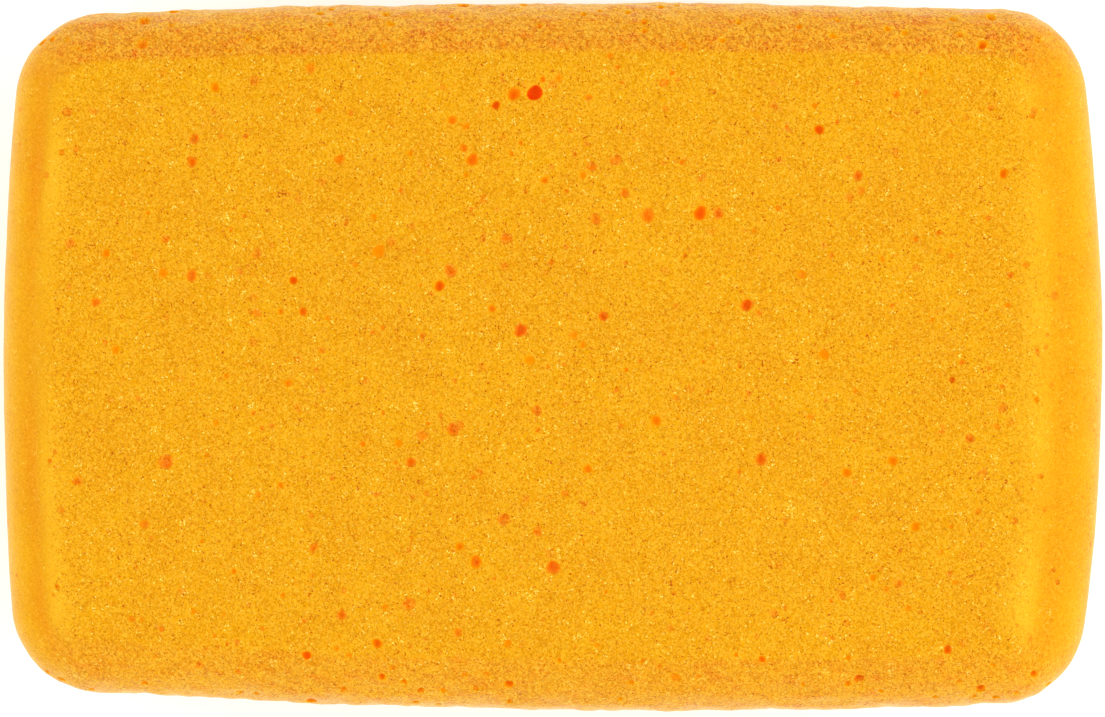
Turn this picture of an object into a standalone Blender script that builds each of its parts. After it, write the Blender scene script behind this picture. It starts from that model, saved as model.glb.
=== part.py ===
"""Tilers' grout sponge: one block of water-loving foam with bowed sides and rounded edges.

Metres, +Z up. The block lies flat with its length along X and its width along Y.
The origin is in the middle of the underside.
"""

from math import atan2, cos, hypot, pi, sin, sqrt

import bpy

# Driving dimensions, in metres
LENGTH = 0.171  # between the middles of the two short sides
WIDTH = 0.110  # between the middles of the two long sides
THICKNESS = 0.055
LONG_SIDE_BOW = 0.0023  # how far the middle of a long side stands out past its ends
SHORT_SIDE_BOW = 0.0044
CORNER_RADIUS = 0.0140  # of the four upright corners, seen from above
EDGE_ROUND = 0.0085  # radius of the rounded edges along the two large faces

# Steps in each quarter of the outline, and in each rounded edge
LONG_SIDE_STEPS = 7
SHORT_SIDE_STEPS = 5
CORNER_STEPS = 8
EDGE_RESOLUTION = 5

FOAM_COLOUR = (0.94, 0.42, 0.015, 1.0)
FOAM_ROUGHNESS = 0.9


def bow_radius(chord, bow):
    """Radius of the arc that stands out by bow over a straight line of length chord."""
    return (chord ** 2 / 4 + bow ** 2) / (2 * bow)


def circles_meet(reach_x, radius_x, reach_y, radius_y):
    """Where the circle about (reach_x, 0) meets the one about (0, reach_y), on their far side."""
    apart = hypot(reach_x, reach_y)
    along = (radius_x ** 2 - radius_y ** 2 + apart ** 2) / (2 * apart)
    aside = sqrt(radius_x ** 2 - along ** 2)
    to_y = (-reach_x / apart, reach_y / apart)
    return (
        reach_x + along * to_y[0] - aside * to_y[1],
        along * to_y[1] + aside * to_y[0],
    )


def quarter_outline(inset):
    """Points of the outline from +X round to +Y, drawn in from the block's sides by inset."""
    end_radius = bow_radius(WIDTH, SHORT_SIDE_BOW)
    side_radius = bow_radius(LENGTH, LONG_SIDE_BOW)
    end_centre = (LENGTH / 2 - end_radius, 0.0)
    side_centre = (0.0, WIDTH / 2 - side_radius)
    corner_centre = circles_meet(
        end_centre[0], end_radius - CORNER_RADIUS, side_centre[1], side_radius - CORNER_RADIUS
    )
    end_angle = atan2(corner_centre[1], corner_centre[0] - end_centre[0])
    side_angle = atan2(corner_centre[1] - side_centre[1], corner_centre[0])
    arcs = (
        (end_centre, end_radius - inset, 0.0, end_angle, SHORT_SIDE_STEPS),
        (corner_centre, CORNER_RADIUS - inset, end_angle, side_angle, CORNER_STEPS),
        (side_centre, side_radius - inset, side_angle, pi / 2, LONG_SIDE_STEPS),
    )
    points = []
    for centre, radius, start, end, steps in arcs:
        for step in range(steps):
            angle = start + (end - start) * step / steps
            points.append((centre[0] + radius * cos(angle), centre[1] + radius * sin(angle)))
    points.append((0.0, WIDTH / 2 - inset))
    return points


def outline(inset):
    """The whole closed outline: the quarter, mirrored in X and then in Y."""
    quarter = quarter_outline(inset)
    half = quarter + [(-x, y) for x, y in reversed(quarter[:-1])]
    return half + [(x, -y) for x, y in reversed(half[1:-1])]


def foam_material():
    material = bpy.data.materials.new("foam")
    material.use_nodes = True
    shader = material.node_tree.nodes["Principled BSDF"]
    shader.inputs["Base Color"].default_value = FOAM_COLOUR
    shader.inputs["Roughness"].default_value = FOAM_ROUGHNESS
    shader.inputs["Metallic"].default_value = 0.0
    return material


def foam_block(collection):
    """The outline of the flat faces, whose bevel brings the rounded edges out to full size."""
    curve = bpy.data.curves.new("foam_block", "CURVE")
    curve.dimensions = "2D"
    curve.fill_mode = "BOTH"
    curve.extrude = THICKNESS / 2 - EDGE_ROUND
    curve.bevel_depth = EDGE_ROUND
    curve.bevel_resolution = EDGE_RESOLUTION
    points = outline(EDGE_ROUND)
    spline = curve.splines.new("POLY")
    spline.points.add(len(points) - 1)
    for point, (x, y) in zip(spline.points, points):
        point.co = (x, y, 0.0, 1.0)
    spline.use_cyclic_u = True
    block = bpy.data.objects.new("foam_block", curve)
    block.location.z = THICKNESS / 2
    collection.objects.link(block)
    curve.materials.append(foam_material())
    weld = block.modifiers.new("weld caps", "WELD")
    weld.merge_threshold = 0.00001
    return block


def main():
    for old in list(bpy.data.objects):
        bpy.data.objects.remove(old, do_unlink=True)
    collection = bpy.data.collections.new("grout_sponge")
    bpy.context.scene.collection.children.link(collection)
    foam_block(collection)


main()
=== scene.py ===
"""Looks of the tilers' grout sponge: a block of ground open-cell foam, full of pores, on a pale floor."""

import math

import bmesh
import bpy
import numpy as np
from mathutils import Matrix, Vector, kdtree, noise
from mathutils.geometry import delaunay_2d_cdt


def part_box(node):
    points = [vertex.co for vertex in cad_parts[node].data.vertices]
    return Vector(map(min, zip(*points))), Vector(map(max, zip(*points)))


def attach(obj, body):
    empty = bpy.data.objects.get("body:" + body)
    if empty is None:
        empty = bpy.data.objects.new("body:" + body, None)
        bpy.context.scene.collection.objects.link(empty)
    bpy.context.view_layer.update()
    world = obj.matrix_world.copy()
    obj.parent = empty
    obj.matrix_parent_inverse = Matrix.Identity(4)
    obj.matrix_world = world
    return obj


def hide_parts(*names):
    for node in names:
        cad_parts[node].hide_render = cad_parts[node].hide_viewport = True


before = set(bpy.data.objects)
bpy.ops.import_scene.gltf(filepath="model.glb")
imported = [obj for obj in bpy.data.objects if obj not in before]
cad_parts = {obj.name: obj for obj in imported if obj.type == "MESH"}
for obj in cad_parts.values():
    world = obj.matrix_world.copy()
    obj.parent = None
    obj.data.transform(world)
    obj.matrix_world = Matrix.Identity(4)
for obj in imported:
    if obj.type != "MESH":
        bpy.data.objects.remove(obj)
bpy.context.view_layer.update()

MM = 0.001
SEED = 7

# ---------------------------------------------------------------- sizes, from the frame
LOW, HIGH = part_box("foam_block")
MIDDLE = (LOW + HIGH) / 2
LENGTH = HIGH.x - LOW.x
WIDTH = HIGH.y - LOW.y
FLOOR_Z = LOW.z
FACE_Z = HIGH.z
RIGHT_BOW = 4.4 * MM  # how far the middle of a side stands out past its ends
LEFT_BOW = 3.4 * MM
FAR_BOW = 1.8 * MM
NEAR_BOW = 2.9 * MM
CORNER_RADIUS = 14 * MM
TAPER = 0.014  # how much wider the +X end is than the middle, as a share

# The wiping face's rounded edge is a different width on each side of the block
RIGHT_EDGE = 12.2 * MM
LEFT_EDGE = 9.2 * MM
FAR_EDGE = 8.7 * MM
NEAR_EDGE = 9.2 * MM
EDGE_DROP = 9.5 * MM  # how far below the face the edge has turned upright
UNDER_EDGE = 8.5 * MM  # the even round along the underside
LONG_CREASE = math.radians(20)  # the edge starts with a crease, sharper along the long sides
SHORT_CREASE = math.radians(12)

# Mesh steps
RIM_STEP = 0.85 * MM
EDGE_ROWS = 18
SIDE_ROWS = 26
UNDER_ROWS = 9
FACE_STEP = 1.4 * MM
UNDERSIDE_STEP = 2.6 * MM


# ---------------------------------------------------------------- block

def bow_radius(chord, bow):
    """Radius of the arc that stands out by bow over a straight line of length chord."""
    return (chord ** 2 / 4 + bow ** 2) / (2 * bow)


def corner_between(end_centre, end_reach, side_centre, side_reach):
    """The point end_reach from end_centre and side_reach from side_centre, in the +X +Y quarter."""
    line = side_centre - end_centre
    gap = np.hypot(*line)
    line /= gap
    along = (end_reach ** 2 - side_reach ** 2 + gap ** 2) / (2 * gap)
    aside = math.sqrt(end_reach ** 2 - along ** 2)
    return end_centre + along * line + aside * np.array([-line[1], line[0]])


def quarter(end_bow, side_bow, step):
    """Points about step apart from the middle of the +X end to the middle of the +Y side, seen from
    above and from the block's middle, and their outward normals."""
    end_radius = bow_radius(WIDTH, end_bow)
    side_radius = bow_radius(LENGTH, side_bow)
    end_centre = np.array([LENGTH / 2 - end_radius, 0.0])
    side_centre = np.array([0.0, WIDTH / 2 - side_radius])
    corner_centre = corner_between(
        end_centre, end_radius - CORNER_RADIUS, side_centre, side_radius - CORNER_RADIUS
    )
    end_angle = math.atan2(*(corner_centre - end_centre)[::-1])
    side_angle = math.atan2(*(corner_centre - side_centre)[::-1])
    arcs = (
        (end_centre, end_radius, 0.0, end_angle),
        (corner_centre, CORNER_RADIUS, end_angle, side_angle),
        (side_centre, side_radius, side_angle, math.pi / 2),
    )
    points, normals = [], []
    for centre, radius, start, end in arcs:
        count = round(radius * (end - start) / step)
        angle = start + (end - start) * np.arange(count) / count
        normal = np.stack([np.cos(angle), np.sin(angle)], axis=1)
        points.append(centre + radius * normal)
        normals.append(normal)
    points.append([[0.0, WIDTH / 2]])
    normals.append([[0.0, 1.0]])
    return np.concatenate(points), np.concatenate(normals)


def outline(step):
    """Points round the whole block seen from above, anticlockwise, and their outward normals."""
    points, normals = [], []
    for end_bow, side_bow, mirror in (
        (RIGHT_BOW, FAR_BOW, (1, 1)),
        (LEFT_BOW, FAR_BOW, (-1, 1)),
        (LEFT_BOW, NEAR_BOW, (-1, -1)),
        (RIGHT_BOW, NEAR_BOW, (1, -1)),
    ):
        order = mirror[0] * mirror[1]  # a quarter mirrored just once runs the other way round
        for whole, part in zip((points, normals), quarter(end_bow, side_bow, step)):
            whole.append((part * mirror)[::order][:-1])
    points = np.concatenate(points)
    points[:, 1] *= 1 + TAPER * points[:, 0] / (LENGTH / 2)
    return points + MIDDLE.xy, np.concatenate(normals)


def by_side(normals, right, left, far, near):
    """A value for each outline point, blended round the corners from the four sides' values."""
    across, along = normals[:, 0], normals[:, 1]
    end = np.where(across > 0, right, left)
    side = np.where(along > 0, far, near)
    return end * across ** 2 + side * along ** 2


def round_edge(points, normals, width, drop, crease, rows):
    """Rows of an edge that turns from a flat face's rim, with a crease, to the upright side.

    Gives each row's points in plan, how far each lies from the face, and how far in from the
    outline, as a share of the edge's width."""
    plans, depths, insets = [], [], []
    for turn in np.linspace(0, 1, rows):
        angle = crease + (math.pi / 2 - crease) * turn
        inset = 1 - (np.sin(angle) - np.sin(crease)) / (1 - np.sin(crease))
        plans.append(points - normals * (width * inset)[:, None])
        depths.append(drop * (np.cos(crease) - np.cos(angle)) / np.cos(crease))
        insets.append(inset)
    return plans, depths, insets


def cap(rim, rim_normals, step, rng):
    """Points scattered evenly inside a flat face's rim, and triangles over the rim and them."""
    low, high = rim.min(axis=0), rim.max(axis=0)
    xs = np.arange(low[0], high[0], step)
    ys = np.arange(low[1], high[1], step * math.sqrt(0.75))
    grid = np.array([(x + (row % 2) * step / 2, y) for row, y in enumerate(ys) for x in xs])
    grid += rng.uniform(-0.2, 0.2, grid.shape) * step
    inside = np.ones(len(grid), bool)
    for corner, normal in zip(rim, rim_normals):
        inside &= (grid - corner) @ normal < -0.6 * step
    points = np.concatenate([rim, grid[inside]])
    loop = [(i, (i + 1) % len(rim)) for i in range(len(rim))]
    _, _, faces, origins, _, _ = delaunay_2d_cdt([Vector(p) for p in points], loop, [], 1, 1e-7)
    first = [origin[0] for origin in origins]
    return grid[inside], [[first[i] for i in face] for face in faces]


def rows_down(points, normals, width):
    """Rows of points from the wiping face's rim down to the underside's: their plans, their heights,
    and the upper edge's insets."""
    crease = by_side(normals, SHORT_CREASE, SHORT_CREASE, LONG_CREASE, LONG_CREASE)
    plans, depths, insets = round_edge(points, normals, width, EDGE_DROP, crease, EDGE_ROWS)
    heights = [FACE_Z - depth for depth in depths]
    side_top, side_foot = FACE_Z - EDGE_DROP, FLOOR_Z + UNDER_EDGE
    for share in np.linspace(0, 1, SIDE_ROWS)[1:-1]:
        plans.append(points)
        heights.append(np.full(len(points), side_top + (side_foot - side_top) * share))
    even = np.full(len(points), UNDER_EDGE)
    no_crease = np.zeros(len(points))
    under_plans, under_depths, _ = round_edge(
        points, normals, even, UNDER_EDGE, no_crease, UNDER_ROWS
    )
    plans += under_plans[::-1]
    heights += [FLOOR_Z + depth for depth in under_depths[::-1]]
    return plans, heights, insets


def band_faces(rows, columns):
    """Faces between rows of points, each of which runs round the block."""
    faces = []
    for row in range(rows - 1):
        here, below = row * columns, (row + 1) * columns
        for column in range(columns):
            after = (column + 1) % columns
            faces.append((here + column, below + column, below + after, here + after))
    return faces


def block_mesh():
    """The closed block: two flat faces, two rounded edges and the upright sides between them.

    Each vertex's inset says how far in it lies from the upright side, over the upper edge's width,
    and its end is 1 where the nearest part of the outline faces an end, 0 where a long side."""
    rng = np.random.default_rng(SEED)
    points, normals = outline(RIM_STEP)
    columns = len(points)
    width = by_side(normals, RIGHT_EDGE, LEFT_EDGE, FAR_EDGE, NEAR_EDGE)
    plans, heights, insets = rows_down(points, normals, width)
    vertices = np.concatenate([np.column_stack(row) for row in zip(plans, heights)])
    inset = np.zeros(len(vertices))
    inset[:len(insets) * columns] = np.concatenate(insets)
    end = np.tile(normals[:, 0] ** 2, len(plans))
    faces = band_faces(len(plans), columns)
    for row, z, step, turned in (
        (0, FACE_Z, FACE_STEP, False),
        (len(plans) - 1, FLOOR_Z, UNDERSIDE_STEP, True),
    ):
        inner, triangles = cap(plans[row], normals, step, rng)
        rim_start, inner_start = row * columns, len(vertices) - columns
        vertices = np.concatenate([vertices, np.column_stack([inner, np.full(len(inner), z)])])
        gaps = np.linalg.norm(inner[:, None] - plans[row], axis=2)
        nearest = gaps.argmin(axis=1)
        end = np.concatenate([end, normals[nearest, 0] ** 2])
        inner_inset = 1 + gaps.min(axis=1) / width[nearest]
        inset = np.concatenate([inset, np.zeros(len(inner)) if turned else inner_inset])
        for triangle in triangles:
            ring = [i + (rim_start if i < columns else inner_start) for i in triangle]
            faces.append(ring[::-1] if turned else ring)
    mesh = bpy.data.meshes.new("sponge")
    mesh.from_pydata(vertices.tolist(), [], faces)
    store(mesh, "inset", inset)
    store(mesh, "end", end)
    return mesh


def store(mesh, name, values):
    """Keeps one number for each vertex under this name."""
    mesh.attributes.new(name, "FLOAT", "POINT").data.foreach_set("value", values)


def stored(mesh, name):
    """The numbers kept under this name."""
    values = np.empty(len(mesh.vertices))
    mesh.attributes[name].data.foreach_get("value", values)
    return values


# ---------------------------------------------------------------- unevenness

# Length and height of each size of unevenness
SLOW_WAVE = (26 * MM, 0.38 * MM)
RIPPLE = (5.5 * MM, 0.26 * MM)
FLUFF = (2.2 * MM, 0.24 * MM)
FACE_WAVE = (20 * MM, 0.10 * MM)
SHADE_WAVE = (15 * MM, 1.0)
SUNK = 0.15 * MM  # how far in the sides lie, so that their bumps don't swell the block

# Bands along the upper edge: the place and half width of each, as shares of the edge's width
GROOVE = (0.63, 0.18)  # the ends have a shallow groove, with a low shoulder above it
SHOULDER = (0.92, 0.22)
CREASE = (0.80, 0.10)  # the far side has painted shade, a deeper orange, where its edge starts
GROOVE_DEPTH = 0.30 * MM
SHOULDER_HEIGHT = 0.20 * MM

# How much painted shade, a deeper orange, each of these lays on, from 0 to 1
RIGHT_GROOVE_SHADE = 0.5
LEFT_GROOVE_SHADE = 0.9
FAR_SHADE = 0.3
CREASE_SHADE = 0.4

GROUND_START = 0.08  # the ground surface sets in over this share of the edge's width
NEAR_GROUND = 0.5  # how coarsely the near side is ground, when the far side is 1


def read(mesh, what):
    """The mesh's vertex co or normal, as rows."""
    values = np.empty(len(mesh.vertices) * 3)
    mesh.vertices.foreach_get(what, values)
    return values.reshape(-1, 3)


def unevenness(points, wave, apart):
    """Smooth noise of the wave's length and height at each point. apart keeps waves unalike."""
    length, height = wave
    shift = Vector((apart, 0, 0))
    return height * np.array([noise.noise(Vector(point / length) + shift) for point in points])


def sideness(normals):
    """0 on the flat faces, and 1 where the surface leans by about 27 degrees or more."""
    return np.clip(np.hypot(normals[:, 0], normals[:, 1]) * 2.2, 0, 1)


def swelling(inset, band):
    """1 in the middle of a band along the upper edge, fading to 0 past its borders."""
    middle, half_width = band
    return np.exp(-(((inset - middle) / half_width) ** 2))


def roughen(mesh):
    """Moves the vertices along their normals, most on the ground long sides."""
    points, normals = read(mesh, "co"), read(mesh, "normal")
    inset, end, side = stored(mesh, "inset"), stored(mesh, "end"), sideness(normals)
    ground = side * (1 - end)
    height = (unevenness(points, SLOW_WAVE, 0) - SUNK) * side
    height += unevenness(points, RIPPLE, 40) * (0.2 * side + 0.8 * ground)
    height += unevenness(points, FLUFF, 80) * ground
    height += unevenness(points, FACE_WAVE, 120) * (1 - side)
    height += (SHOULDER_HEIGHT * swelling(inset, SHOULDER) - GROOVE_DEPTH * swelling(inset, GROOVE)) * end
    points += normals * height[:, None]
    points[:, 2] = np.maximum(points[:, 2], FLOOR_Z)
    mesh.vertices.foreach_set("co", points.ravel())
    mesh.update()


def mark_surface(mesh):
    """Stores what the material needs: skin, 1 on the smooth ends; ground, 1 where the surface is coarsely
    ground; and painted_shade_and_highlight, from -1 where the upper edge is painted with shade, a deeper
    orange, to 1 where it is painted with a highlight, paler."""
    points, normals = read(mesh, "co"), read(mesh, "normal")
    inset, end, side = stored(mesh, "inset"), stored(mesh, "end"), sideness(normals)
    start = np.clip((1 - inset) / GROUND_START, 0, 1)
    ground = np.where(normals[:, 2] > 0, start, side) * (1 - end)
    far = normals[:, 1] > 0
    # Painted shade in the ends' grooves, on the far side's edge and at its crease; painted highlight on
    # the ends' shoulders
    groove_shade = np.where(points[:, 0] > MIDDLE.x, RIGHT_GROOVE_SHADE, LEFT_GROOVE_SHADE)
    along_ends = (swelling(inset, SHOULDER) - groove_shade * swelling(inset, GROOVE)) * end
    patchy = 0.6 + unevenness(points, SHADE_WAVE, 160)
    along_far = (FAR_SHADE * (inset > 0.1) + CREASE_SHADE * swelling(inset, CREASE)) * ground * far
    store(mesh, "painted_shade_and_highlight", np.clip(along_ends * patchy - along_far, -1, 1))
    store(mesh, "ground", ground * np.where(far, 1.0, NEAR_GROUND))
    store(mesh, "skin", side * end * (0.3 + 0.7 * np.clip(inset * 4, 0, 1)))


# ---------------------------------------------------------------- pores

# The pores that stand out on the wiping face: place in mm from its middle, the mouth's width in
# mm, and how many times deeper the bubble is than its mouth's half width.
FACE_PORES = (
    (-2.8, 40.2, 2.4, 1.3), (-6, 40, 2.1, 0.7), (-8.7, 38.3, 1.3, 1.2), (-1.6, 42.3, 1.0, 0.7),
    (-15.4, 36, 1.5, 0.6), (-13.3, 35.2, 1.1, 0.3), (-13.6, 31.8, 1.2, 0.7), (-12.3, 30, 1.9, 0.7),
    (0.8, 42.5, 1.2, 0.4), (5.4, 39.5, 1.1, 0.5), (16.9, 41.8, 1.3, 0.4), (9.6, 30, 1.6, 0.5),
    (6, 29, 1.3, 0.6), (4.6, 27.7, 1.1, 0.4), (-1.2, 26.9, 1.2, 0.6), (6.6, 21, 1.5, 0.6),
    (11, 25, 1.3, 0.6), (14.5, 21.6, 2.1, 0.6), (12.4, 21.4, 0.9, 1.0), (22.5, 22, 2.2, 0.8),
    (25.2, 22, 1.7, 0.7), (-7, 18, 1.5, 0.5), (-15.5, 13, 1.8, 0.6), (-17.2, 10.7, 1.6, 0.9),
    (-9.2, 7.3, 1.2, 0.6), (-4.8, 4, 2.0, 0.9), (7.8, 6.2, 1.5, 0.9), (3.3, 3.3, 1.2, 0.4),
    (-3.4, -0.5, 1.4, 0.3), (-2.3, -8.2, 1.4, 0.7), (-15, -11.1, 1.8, 0.7), (-19.7, -12.1, 1.4, 0.4),
    (15.9, -9.7, 1.5, 0.6), (5.5, -17.1, 1.3, 0.6), (29.7, 8, 1.8, 1.0), (31.9, -15.5, 1.8, 0.8),
    (52, -15.7, 1.4, 0.6), (45, -17.5, 1.3, 0.6), (63.7, -12.2, 1.4, 0.6), (68.7, -7.5, 1.4, 0.4),
    (61, -3.3, 0.9, 1.1), (41.5, 0.5, 1.4, 0.35), (40.6, 34.8, 1.4, 1.1), (46.5, 27.8, 1.4, 0.8),
    (47, 25.4, 1.2, 0.4), (52.3, 40.2, 1.2, 0.5), (68.7, 28.2, 1.3, 0.8), (38, 12.7, 1.2, 0.4),
    (-74, 37, 1.2, 0.4), (-54.6, 33, 1.4, 0.7), (-55, 29.5, 1.5, 0.7), (-51.5, 40.8, 1.2, 0.5),
    (-37, 43.8, 1.3, 0.5), (-32.5, 30, 1.5, 0.5), (-55, 12.2, 1.7, 0.7), (-59.3, 12.5, 1.3, 0.4),
    (-68, 15.5, 1.1, 0.6), (-73.5, 17, 1.3, 0.6), (-59, 17.7, 1.1, 0.5), (-45, 15.5, 1.4, 0.3),
    (-26.5, 16, 1.8, 0.35), (-39.5, 11.5, 1.2, 1.1), (-69.6, 8, 1.4, 0.7), (-45, 6.5, 1.2, 0.5),
    (-38, 6.7, 1.3, 0.8), (-66.5, 0.8, 1.2, 0.4), (-40.2, -4.2, 1.1, 0.5), (-58.8, -16.3, 2.1, 0.7),
    (-72.3, -19.3, 1.3, 0.6), (-21.5, -16.2, 1.3, 0.8), (-23.3, -13.3, 1.1, 0.4),
    (-62, -25.8, 1.2, 0.6), (-36.3, -29.3, 1.3, 0.6), (-31.9, -39.5, 1.3, 0.8),
    (-37.2, -45.7, 1.4, 1.1), (-26.5, -43.8, 1.4, 0.9), (-21.7, -37.8, 1.9, 0.5),
    (-7.3, -24.8, 1.6, 0.6), (-2.1, -26.7, 1.4, 0.6), (-14, -29, 1.2, 0.6), (-11.5, -31.3, 1.8, 0.7),
    (0.3, -32.1, 2.1, 0.8), (0.2, -34.3, 1.3, 0.7), (-14.2, -42.1, 1.3, 0.6), (-6.6, -43.8, 1.1, 0.4),
    (55.5, -25.7, 1.3, 0.5), (53, -34.4, 1.2, 0.5), (44.3, -36.2, 1.1, 0.4), (34, -39, 1.1, 0.4),
    (60.5, -44.4, 1.2, 1.0), (32.2, -46, 1.1, 0.9),
)
# Scattered pores: how many, their mouths' widths in mm, and the bubbles' depths as above
FACE_SMALL = (170, (0.5, 0.9), (0.25, 0.6))
END_LARGE = (22, (1.1, 1.9), (0.4, 1.2))
END_SMALL = (70, (0.6, 1.1), (0.3, 0.9))
EDGE_LARGE = (20, (1.0, 1.6), (0.4, 1.1))
EDGE_SMALL = (55, (0.6, 1.0), (0.3, 0.8))
SIDE_LARGE = (80, (1.1, 2.3), (0.5, 1.4))
SIDE_SMALL = (170, (0.6, 1.1), (0.4, 1.1))
UNDER_LARGE = (60, (1.1, 2.1), (0.5, 1.4))
UNDER_SMALL = (80, (0.7, 1.1), (0.5, 1.1))
LIP = 0.17 * MM  # how far a mouth flares out to the surface
PROUD = 0.35 * MM  # how far a cutter stands out of the surface
FLARE = 1.6  # how much wider it is there, in lips
LEAST_SPOKES = 8  # points round a cutter, and how many more for each metre of its radius
MORE_SPOKES = 4500
PORE_GAP = 0.1 * MM
FACING_UP = 0.9  # the least height of a normal on the wiping face
EDGE_FACING = 0.35  # and on the part of the rounded edge that has pores
SLIVER = 0.001 * MM  # edges this short, left by the cut, are removed
LIP_ANGLE = math.radians(38)  # an edge sharper than this, as round a mouth, is shaded sharp
DEEPEST = 1.3 * MM  # a pore wall this far down has its full painted deep colour, which stands in for bounce light and shade


def pore_profile(half, depth):
    """A pore's cutter from the top down: each ring's radius and its height over the surface.

    Under the flared mouth lies part of a ball, which ends in a point, the last ring."""
    ball = half * (1 + depth ** 2) / (2 * depth)
    middle = ball - depth * half
    rings = 3 if depth < 0.7 else 4
    angles = math.acos(middle / ball) * np.linspace(1, 0, rings + 1)
    radii = np.concatenate([[half + FLARE * LIP, half + LIP], ball * np.sin(angles)])
    heights = np.concatenate([[PROUD, 0], middle - ball * np.cos(angles) - LIP])
    return radii, heights


class Pores:
    """Pores to cut into the block, none of which touches another."""

    def __init__(self, rng):
        self.rng = rng
        self.places, self.normals, self.reaches = [], [], []
        self.vertices, self.faces = [], []

    def add(self, place, normal, mouth, depth):
        """Adds a pore with a mouth this wide at place, unless another pore is in the way."""
        half = mouth / 2
        radii, heights = pore_profile(half, depth)
        reach = radii.max()
        if self.places:
            gaps = np.linalg.norm(np.array(self.places) - place, axis=1) - np.array(self.reaches)
            if gaps.min() < reach + PORE_GAP:
                return False
        self.places.append(place)
        self.normals.append(normal)
        self.reaches.append(reach)
        self.add_cutter(place, normal, radii, heights)
        return True

    def add_cutter(self, place, normal, radii, heights):
        """The closed mesh that cuts the pore, its outline a little ragged."""
        count = LEAST_SPOKES + round(MORE_SPOKES * radii[1])
        angle = np.linspace(0, 2 * math.pi, count, endpoint=False)
        turn, second_turn = self.rng.uniform(0, 2 * math.pi, 2)
        ragged = 1 + 0.08 * np.sin(2 * angle + turn) + 0.04 * np.sin(3 * angle + second_turn)
        ragged *= self.rng.uniform(0.95, 1.05, count)
        across = Vector(normal).orthogonal().normalized()
        along = np.cross(normal, across)
        spokes = (np.outer(np.cos(angle), across) + np.outer(np.sin(angle), along)) * ragged[:, None]
        start = sum(len(part) for part in self.vertices)
        top, bottom = heights[0] * normal, heights[-1] * normal
        rings = [spokes * radius + height * normal for radius, height in zip(radii[:-1], heights)]
        self.vertices.append(place + np.concatenate([[top], *rings, [bottom]]))
        first, last = start + 1, start + 1 + (len(rings) - 1) * count
        for here in range(count):
            after = (here + 1) % count
            self.faces.append((start, first + here, first + after))
            self.faces.append((last + count, last + after, last + here))
            for ring in range(first, last, count):
                below = ring + count
                self.faces.append((ring + here, below + here, below + after, ring + after))

    def scatter(self, centres, normals, areas, count, mouths, depths):
        """Adds count pores on these faces of the block, evenly over their area.

        Some of the places tried are taken, so there are more of them than pores."""
        wanted = count
        for face in self.rng.choice(len(areas), 4 * count, p=areas / areas.sum()):
            mouth = self.rng.uniform(*mouths) * MM
            wanted -= self.add(centres[face], normals[face], mouth, self.rng.uniform(*depths))
            if not wanted:
                return

    def cutter(self):
        mesh = bpy.data.meshes.new("bubbles")
        mesh.from_pydata(np.concatenate(self.vertices).tolist(), [], self.faces)
        return mesh


def choose_pores(mesh):
    """The pores of the wiping face, and those scattered over each part of the block."""
    rng = np.random.default_rng(SEED + 1)
    pores = Pores(rng)
    up = np.array([0.0, 0.0, 1.0])
    for x, y, mouth, depth in FACE_PORES:
        place = np.array([MIDDLE.x + x * MM, MIDDLE.y + y * MM, FACE_Z])
        pores.add(place, up, mouth * MM, depth)
    centres = np.array([face.center for face in mesh.polygons])
    normals = np.array([face.normal for face in mesh.polygons])
    areas = np.array([face.area for face in mesh.polygons])
    top = normals[:, 2] > FACING_UP
    under = normals[:, 2] < -FACING_UP
    end = np.abs(normals[:, 0]) > np.abs(normals[:, 1])
    edge = ~top & (normals[:, 2] > EDGE_FACING)
    side = (centres[:, 2] < FACE_Z - EDGE_DROP) & ~under
    for zone, kinds in (
        (top, (FACE_SMALL,)),
        (edge & ~end, (EDGE_LARGE, EDGE_SMALL)),
        (side & ~end, (SIDE_LARGE, SIDE_SMALL)),
        (side & end, (END_LARGE, END_SMALL)),
        (under, (UNDER_LARGE, UNDER_SMALL)),
    ):
        for count, mouths, depths in kinds:
            pores.scatter(centres[zone], normals[zone], areas[zone], count, mouths, depths)
    return pores


def cut_pores(block, pores, wall_material):
    """Cuts the pores out of the block, whose new faces get wall_material."""
    cutter = bpy.data.objects.new("bubbles", pores.cutter())
    cutter.data.materials.append(wall_material)
    bpy.context.scene.collection.objects.link(cutter)
    cut = block.modifiers.new("pores", "BOOLEAN")
    cut.object = cutter
    cut.material_mode = "TRANSFER"
    evaluated = block.evaluated_get(bpy.context.evaluated_depsgraph_get())
    mesh = bpy.data.meshes.new_from_object(evaluated)
    block.modifiers.clear()
    block.data = mesh
    bpy.data.objects.remove(cutter)
    shape = bmesh.new()
    shape.from_mesh(mesh)
    bmesh.ops.dissolve_degenerate(shape, dist=SLIVER, edges=shape.edges)
    shape.to_mesh(mesh)
    shape.free()


def mark_depth(mesh, pores, wall_index):
    """Stores at each vertex how deep in a pore it lies, from 0 outside to 1, as pore_depth."""
    tree = kdtree.KDTree(len(pores.places))
    for index, place in enumerate(pores.places):
        tree.insert(place, index)
    tree.balance()
    in_pore = np.zeros(len(mesh.vertices), bool)
    for face in mesh.polygons:
        if face.material_index == wall_index:
            in_pore[list(face.vertices)] = True
    depth = np.zeros(len(mesh.vertices))
    for index in np.flatnonzero(in_pore):
        point = mesh.vertices[index].co
        _, pore, _ = tree.find(point)
        depth[index] = np.dot(pores.places[pore] - np.array(point), pores.normals[pore]) / DEEPEST
    store(mesh, "pore_depth", np.clip(depth, 0, 1))


# ---------------------------------------------------------------- material

def colour(red, green, blue):
    """A colour as seen on screen, 0 to 255, in the linear values that shaders take."""
    def linear(value):
        value /= 255
        return value / 12.92 if value <= 0.04045 else ((value + 0.055) / 1.055) ** 2.4
    return linear(red), linear(green), linear(blue), 1.0


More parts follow.
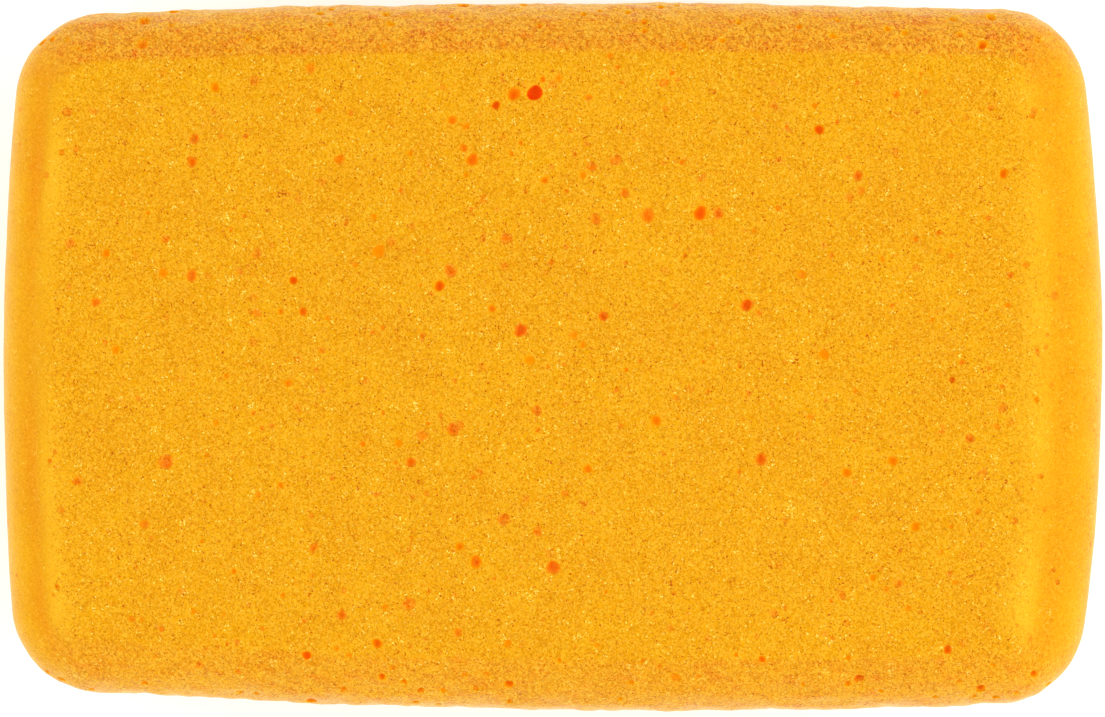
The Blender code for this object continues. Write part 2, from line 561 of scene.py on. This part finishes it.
FOAM = colour(234, 167, 0)
FOAM_DULL = colour(230, 159, 0)
CELL_SHADE = (0.78, 0.60, 0.55, 1.0)  # what a dark cell's colour is multiplied by
CELL_LIGHT = colour(252, 202, 58)
# Painted shade of the dark holes among the cells: their colour is multiplied by this
SPECK_SHADE = (0.72, 0.32, 0.30, 1.0)
GLINT = colour(253, 233, 112)
SPOT = colour(232, 134, 0)
# Painted bounce light and shade: pore walls are painted redder and darker as they deepen
PORE_WALL_PAINTED_LIGHT = colour(250, 146, 0)
PORE_DEEP_PAINTED_LIGHT = colour(255, 94, 0)
# Painted shade, a deeper orange, and painted highlight, paler, along the upper edge
PAINTED_SHADE_TINT = colour(234, 141, 4)
PAINTED_HIGHLIGHT_TINT = colour(246, 187, 30)
GROUND_TINT = colour(238, 144, 0)
STREAK = colour(230, 108, 0)

CELL = 0.21 * MM
COARSE_CELL = 0.36 * MM
MOTTLE = 9 * MM
SMALL_SPOTS = 2.1 * MM  # about how far apart the spots of each size lie
LARGE_SPOTS = 3.5 * MM
GROUND_PATCHES = 4.2 * MM
STREAK_SIZE = 1.8 * MM
GLINT_CLUSTER = 2.2 * MM
SPECK_CLUSTER = 1.7 * MM
SOFT_BUMP = 0.8 * MM
CELL_DEPTH = 0.11 * MM

FUZZ = 0.8  # the sheen's weight, and the strength of the cells' relief
CELL_RELIEF = 0.55
PORE_RELIEF = 0.2


def new_material(name):
    material = bpy.data.materials.new(name)
    material.use_nodes = True
    return material, material.node_tree, material.node_tree.nodes["Principled BSDF"]


def add(tree, kind, inputs=(), **settings):
    """A new node with its settings, and its inputs set to a value or linked from a socket."""
    made = tree.nodes.new(kind)
    for name, value in settings.items():
        setattr(made, name, value)
    for name, value in dict(inputs).items():
        if isinstance(value, bpy.types.NodeSocket):
            tree.links.new(value, made.inputs[name])
        else:
            made.inputs[name].default_value = value
    return made


def ramp(tree, value, low, high, to_low=0.0, to_high=1.0):
    """value from low to high, spread over to_low to to_high and held there outside."""
    return add(tree, "ShaderNodeMapRange", {
        "Value": value, "From Min": low, "From Max": high, "To Min": to_low, "To Max": to_high,
    }).outputs["Result"]


def maths(tree, operation, first, second):
    return add(tree, "ShaderNodeMath", {0: first, 1: second}, operation=operation).outputs[0]


def blend(tree, share, first, second, how="MIX"):
    """first and second colours mixed by share."""
    made = add(tree, "ShaderNodeMix", {"Factor": share}, data_type="RGBA", blend_type=how)
    for socket, value in ((made.inputs[6], first), (made.inputs[7], second)):
        if isinstance(value, bpy.types.NodeSocket):
            tree.links.new(value, socket)
        else:
            socket.default_value = value
    return made.outputs[2]


def noise_at(tree, place, size, detail=2.0):
    return add(tree, "ShaderNodeTexNoise", {
        "Vector": place, "Scale": 1 / size, "Detail": detail,
    }).outputs["Fac"]


def cells(tree, place, size):
    """Foam cells of this size: how far a point is from its cell's middle, and a colour per cell."""
    made = add(tree, "ShaderNodeTexVoronoi", {"Vector": place, "Scale": 1 / size})
    return made.outputs["Distance"], made.outputs["Color"]


def attribute(tree, name):
    return add(tree, "ShaderNodeAttribute", attribute_name=name).outputs["Fac"]


def channels(tree, tone):
    """Three numbers from 0 to 1 from a colour."""
    parts = add(tree, "ShaderNodeSeparateColor", {"Color": tone})
    return parts.outputs["Red"], parts.outputs["Green"], parts.outputs["Blue"]


def spots(tree, place, spacing):
    """Round soft spots, no two alike: each is a bubble close under the surface, seen through it."""
    distance, tone = cells(tree, place, spacing)
    size, strength, _ = channels(tree, tone)
    inside = maths(tree, "SUBTRACT", ramp(tree, size, 0.35, 1.0, 0.0, 0.27), distance)
    strength = ramp(tree, strength, 0.0, 1.0, 0.3, 0.95)
    return maths(tree, "MULTIPLY", ramp(tree, inside, 0.0, 0.09), strength)


def streaks(tree, place):
    """Noise drawn out along the block, as the wheel that ground its long sides left it."""
    drawn = add(tree, "ShaderNodeMapping", {"Vector": place, "Scale": (0.4, 1, 1)}).outputs[0]
    return noise_at(tree, drawn, STREAK_SIZE, 3.0)


def smooth_colour(tree, place):
    """The foam's colour without its pores and cells, with painted shade and highlight along the upper
    edge.
    """
    ground, painted_shade_and_highlight = attribute(tree, "ground"), attribute(tree, "painted_shade_and_highlight")
    base = blend(tree, ramp(tree, noise_at(tree, place, MOTTLE), 0.35, 0.65), FOAM_DULL, FOAM)
    base = blend(tree, maths(tree, "MULTIPLY", ground, 0.5), base, GROUND_TINT)
    # Painted shade in the ends' grooves, on the far side's edge and at its crease; painted highlight on
    # the ends' shoulders
    base = blend(tree, ramp(tree, painted_shade_and_highlight, 0.0, -1.0), base, PAINTED_SHADE_TINT)
    base = blend(tree, ramp(tree, painted_shade_and_highlight, 0.0, 1.0), base, PAINTED_HIGHLIGHT_TINT)
    streak = ramp(tree, streaks(tree, place), 0.5, 0.70, 0.0, 0.9)
    base = blend(tree, maths(tree, "MULTIPLY", streak, ground), base, STREAK)
    for spacing in (SMALL_SPOTS, LARGE_SPOTS):
        base = blend(tree, spots(tree, place, spacing), base, SPOT)
    patches = maths(tree, "MULTIPLY", spots(tree, place, GROUND_PATCHES), ground)
    return blend(tree, patches, base, STREAK)


def pore_painted_light(tree, base, ragged):
    """Painted bounce light and shade: light that has crossed more foam comes out redder, so a pore's wall
    is painted a redder, darker orange as it deepens.

    Gives the colour with the painted walls in it, and the walls' share of it."""
    depth = attribute(tree, "pore_depth")
    wall = blend(tree, ramp(tree, depth, 0.3, 0.95), PORE_WALL_PAINTED_LIGHT, PORE_DEEP_PAINTED_LIGHT)
    share = maths(tree, "MULTIPLY", depth, ramp(tree, ragged, 0.0, 1.0, 0.4, 1.6))
    share = ramp(tree, share, 0.0, 0.32, 0.0, 0.95)
    return blend(tree, share, base, wall), share


def grainy(tree, place, base, in_pore, fine, coarse):
    """base with each cell's own brightness, from three random numbers per fine and coarse cell.

    The smooth ends and the pores' walls show less grain, and the ground sides more."""
    skin, ground = attribute(tree, "skin"), attribute(tree, "ground")
    grain = maths(tree, "SUBTRACT", 1.0, maths(tree, "MULTIPLY", skin, 0.6))
    grain = maths(tree, "SUBTRACT", grain, maths(tree, "MULTIPLY", in_pore, 0.85))
    grain = maths(tree, "ADD", grain, maths(tree, "MULTIPLY", ground, 0.15))
    for share, tones, lightest in ((grain, fine, 0.6), (ground, coarse, 0.45)):
        dark = maths(tree, "MULTIPLY", ramp(tree, tones[0], 0.35, 1.0, 0.0, 0.9), share)
        light = maths(tree, "MULTIPLY", ramp(tree, tones[1], 0.4, 1.0, 0.0, lightest), share)
        base = blend(tree, dark, base, CELL_SHADE, "MULTIPLY")
        base = blend(tree, light, base, CELL_LIGHT)

    # A few cells catch the light and a few are dark holes, most of them in clusters
    cluster = ramp(tree, noise_at(tree, place, GLINT_CLUSTER), 0.60, 0.72)
    rare = maths(tree, "SUBTRACT", fine[2], maths(tree, "MULTIPLY", cluster, 0.14))
    glint = maths(tree, "MULTIPLY", ramp(tree, rare, 0.010, 0.0), ramp(tree, ground, 0.0, 1.0, 0.8, 0.3))
    base = blend(tree, maths(tree, "MULTIPLY", glint, grain), base, GLINT)
    # The dark holes are painted shade, most of them in clusters
    cluster = ramp(tree, noise_at(tree, place, SPECK_CLUSTER), 0.66, 0.74)
    common = maths(tree, "ADD", fine[2], maths(tree, "MULTIPLY", cluster, 0.25))
    speck = ramp(tree, common, 0.987, 0.995)
    return blend(tree, maths(tree, "MULTIPLY", speck, grain), base, SPECK_SHADE, "MULTIPLY")


def foam_bump(tree, place, distance, coarse_distance, relief):
    """The cells are round hollows, larger and deeper on the ground sides."""
    ground = attribute(tree, "ground")
    height = maths(tree, "MULTIPLY", noise_at(tree, place, SOFT_BUMP), 1.6)
    height = maths(tree, "SUBTRACT", height, distance)
    rough = maths(tree, "MULTIPLY", streaks(tree, place), 4.0)
    rough = maths(tree, "SUBTRACT", rough, maths(tree, "MULTIPLY", coarse_distance, 1.5))
    height = maths(tree, "ADD", height, maths(tree, "MULTIPLY", rough, ground))
    return add(tree, "ShaderNodeBump", {
        "Strength": relief, "Distance": CELL_DEPTH, "Height": height,
    }).outputs["Normal"]


def foam_material(name, fuzz, relief):
    """Foam whose fuzz lights up where the surface turns away, with a relief of cells."""
    material, tree, shader = new_material(name)
    place = add(tree, "ShaderNodeTexCoord").outputs["Object"]
    distance, tone = cells(tree, place, CELL)
    coarse_distance, coarse_tone = cells(tree, place, COARSE_CELL)
    fine = channels(tree, tone)
    base, in_pore = pore_painted_light(tree, smooth_colour(tree, place), fine[0])
    base = grainy(tree, place, base, in_pore, fine, channels(tree, coarse_tone))
    tree.links.new(base, shader.inputs["Base Color"])
    tree.links.new(foam_bump(tree, place, distance, coarse_distance, relief), shader.inputs["Normal"])
    tree.links.new(ramp(tree, distance, 0.0, 0.8, 0.62, 0.95), shader.inputs["Roughness"])
    shader.inputs["Specular IOR Level"].default_value = 0.03
    shader.inputs["Sheen Weight"].default_value = fuzz
    shader.inputs["Sheen Roughness"].default_value = 0.37
    shader.inputs["Sheen Tint"].default_value = colour(255, 238, 205)
    shader.inputs["Subsurface Weight"].default_value = 0.5
    shader.inputs["Subsurface Radius"].default_value = (1.0, 0.45, 0.1)
    shader.inputs["Subsurface Scale"].default_value = 1.2 * MM
    return material


# ---------------------------------------------------------------- sponge

def make_sponge():
    """The block with its pores cut. Its mesh carries what the materials read at each vertex."""
    mesh = block_mesh()
    roughen(mesh)
    mesh.materials.append(foam_material("foam", FUZZ, CELL_RELIEF))
    sponge = bpy.data.objects.new("sponge", mesh)
    bpy.context.scene.collection.objects.link(sponge)
    mark_surface(mesh)
    pores = choose_pores(mesh)
    cut_pores(sponge, pores, foam_material("pore_wall", 0.0, PORE_RELIEF))
    mesh = sponge.data
    mark_depth(mesh, pores, mesh.materials.find("pore_wall"))
    mesh.shade_smooth()
    mesh.set_sharp_from_angle(angle=LIP_ANGLE)
    return sponge


# ---------------------------------------------------------------- floor, light and camera

LENS = 100
FRAME_WIDTH = 1.0049 * LENGTH  # the block all but fills the frame from end to end
CAMERA_ASIDE = Vector((0.08 * MM, -0.27 * MM))
CAMERA_ROLL = math.radians(0.23)

# The studio's light by how high it comes from, 0 at the horizon and 1 overhead: the walls' light
# runs from the foot's to the wall's between WALL_FOOT and WALL_TOP
WALL_FOOT = 0.05
WALL_TOP = 0.30
FOOT_LIGHT = 1.05
WALL_LIGHT = 0.88
CEILING_START = 0.5
CEILING_LIGHT = 0.97
FLOOR_GLOW = 0.2
FLOOR_RADIUS = 3

KEY_PLACE = (0.75, -0.05, 0.50)
FILL_PLACE = (-0.75, -0.05, 0.50)
LIGHT_SIZE = 0.5
KEY_POWER = 3.1
FILL_POWER = 1.75


def make_floor():
    material, tree, shader = new_material("floor")
    place = add(tree, "ShaderNodeTexCoord").outputs["Object"]
    tone = ramp(tree, noise_at(tree, place, 0.4), 0.3, 0.7)
    tree.links.new(
        blend(tree, tone, colour(244, 244, 242), colour(247, 247, 245)), shader.inputs["Base Color"]
    )
    shader.inputs["Roughness"].default_value = 0.9
    shader.inputs["Emission Color"].default_value = colour(255, 255, 252)
    shader.inputs["Emission Strength"].default_value = FLOOR_GLOW
    mesh = bpy.data.meshes.new("floor")
    shape = bmesh.new()
    bmesh.ops.create_circle(shape, cap_ends=True, radius=FLOOR_RADIUS, segments=64)
    shape.to_mesh(mesh)
    shape.free()
    mesh.materials.append(material)
    floor = bpy.data.objects.new("floor", mesh)
    floor.location.z = FLOOR_Z
    bpy.context.scene.collection.objects.link(floor)


def make_light(name, place, power):
    data = bpy.data.lights.new(name, "AREA")
    data.shape = "DISK"
    data.size = LIGHT_SIZE
    data.energy = power
    light = bpy.data.objects.new(name, data)
    light.location = place
    light.rotation_euler = (MIDDLE - Vector(place)).to_track_quat("-Z", "Y").to_euler()
    bpy.context.scene.collection.objects.link(light)


def make_world():
    """A white studio: its ceiling is the brightest, its walls are dim but for their foot, by the floor."""
    world = bpy.data.worlds.new("studio")
    world.use_nodes = True
    tree = world.node_tree
    direction = add(tree, "ShaderNodeTexCoord").outputs["Generated"]
    up = add(tree, "ShaderNodeSeparateXYZ", {"Vector": direction}).outputs["Z"]
    walls = ramp(tree, up, WALL_FOOT, WALL_TOP, FOOT_LIGHT, WALL_LIGHT)
    ceiling = ramp(tree, up, CEILING_START, 1.0, 0.0, CEILING_LIGHT - WALL_LIGHT)
    background = tree.nodes["Background"]
    background.inputs["Color"].default_value = (1, 1, 1, 1)
    tree.links.new(maths(tree, "ADD", walls, ceiling), background.inputs["Strength"])
    bpy.context.scene.world = world


def make_camera():
    data = bpy.data.cameras.new("camera")
    data.lens = LENS
    data.clip_start = 0.01
    camera = bpy.data.objects.new("camera", data)
    distance = FRAME_WIDTH * LENS / data.sensor_width
    camera.location = (
        MIDDLE.x + CAMERA_ASIDE.x, MIDDLE.y + CAMERA_ASIDE.y, FACE_Z - EDGE_DROP + distance
    )
    camera.rotation_euler = (0, 0, CAMERA_ROLL)
    bpy.context.scene.collection.objects.link(camera)
    bpy.context.scene.camera = camera


make_camera()
make_floor()
make_world()
make_light("key", KEY_PLACE, KEY_POWER)
make_light("fill", FILL_PLACE, FILL_POWER)
bpy.context.scene.view_settings.view_transform = "Standard"

sponge = make_sponge()
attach(sponge, "root")
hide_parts("foam_block")
